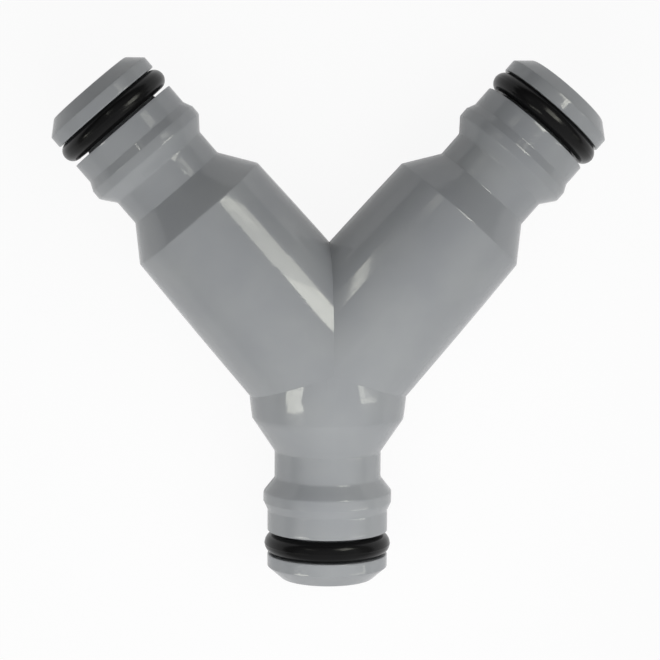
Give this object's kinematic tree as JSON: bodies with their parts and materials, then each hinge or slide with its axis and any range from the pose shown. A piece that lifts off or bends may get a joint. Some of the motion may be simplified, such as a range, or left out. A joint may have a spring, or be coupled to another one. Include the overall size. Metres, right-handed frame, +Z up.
{
  "type": "tubing y connector",
  "caption": "Y-shaped hose connector: a hollow grey plastic body with identical male quick-connect ports, each with a black rubber seal ring.",
  "frame": {"origin": "centre of the footprint, on the surface that the connector lies on", "axes": "+Z up out of the level plane of the three port axes, +Y from the stem towards the arms, +X towards the right arm"},
  "size_m": [0.0724, 0.0688, 0.0214],
  "materials": {
    "grey_plastic": "smooth as-moulded plastic with a soft gloss",
    "black_rubber": "satin moulded rubber"
  },
  "bodies": {
    "root": {"connector_body": "grey_plastic", "left_o_ring": "black_rubber", "right_o_ring": "black_rubber", "stem_o_ring": "black_rubber"}
  },
  "joints": []
}
